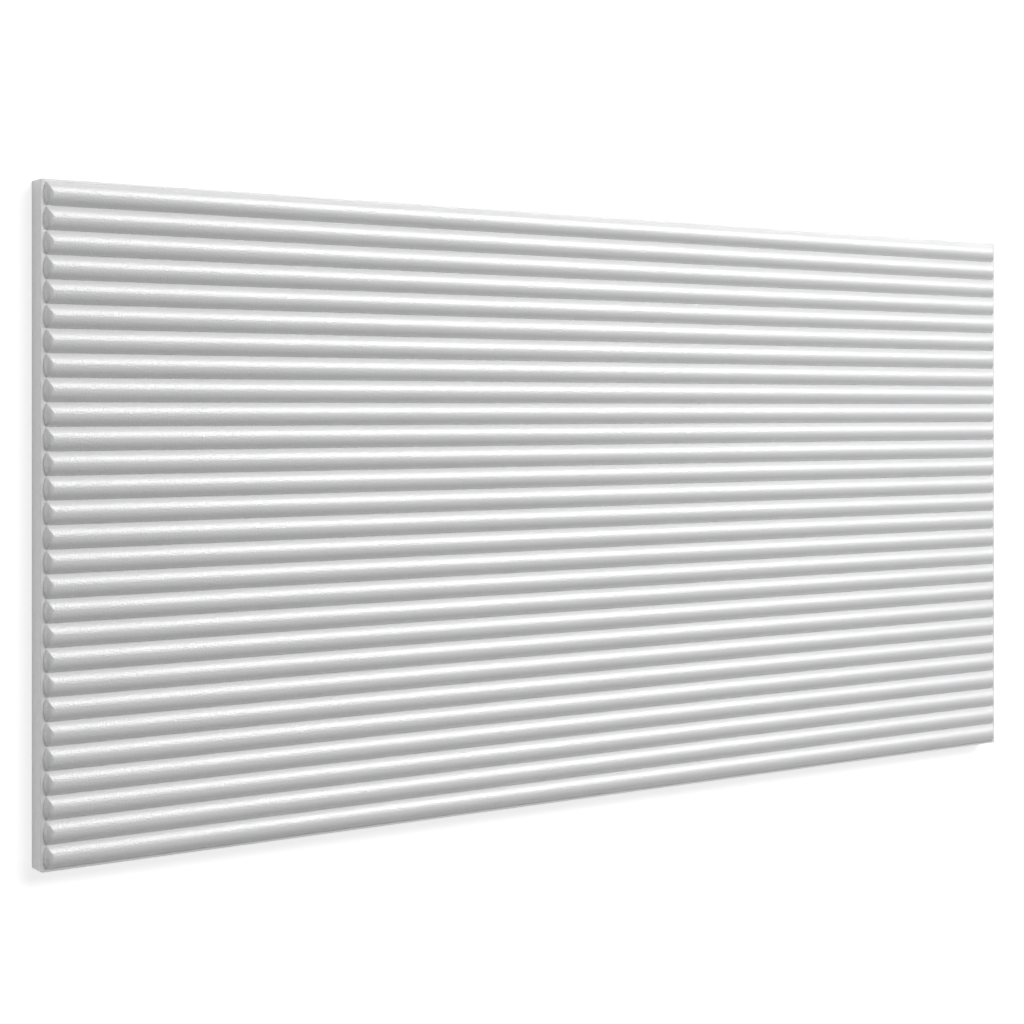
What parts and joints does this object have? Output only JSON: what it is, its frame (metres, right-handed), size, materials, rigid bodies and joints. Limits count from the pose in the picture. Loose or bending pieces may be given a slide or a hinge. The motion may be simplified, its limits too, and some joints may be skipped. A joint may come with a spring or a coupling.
{
  "type": "slat wall panel",
  "caption": "White moulded foam wall panel with a flat back and a front of close-set half-round ribs, each rounded down at both ends to a narrow flat rim.",
  "frame": {"origin": "centre of the flat back, on the floor that the panel lies on", "axes": "+X along the ribs, +Y across the ribs, +Z out of the ribbed front"},
  "size_m": [1, 0.5, 0.0222],
  "materials": {
    "foam_skin": "white polystyrene foam with a satin pressed skin and a very fine grain"
  },
  "bodies": {
    "root": {"slat_panel": "foam_skin"}
  },
  "joints": []
}
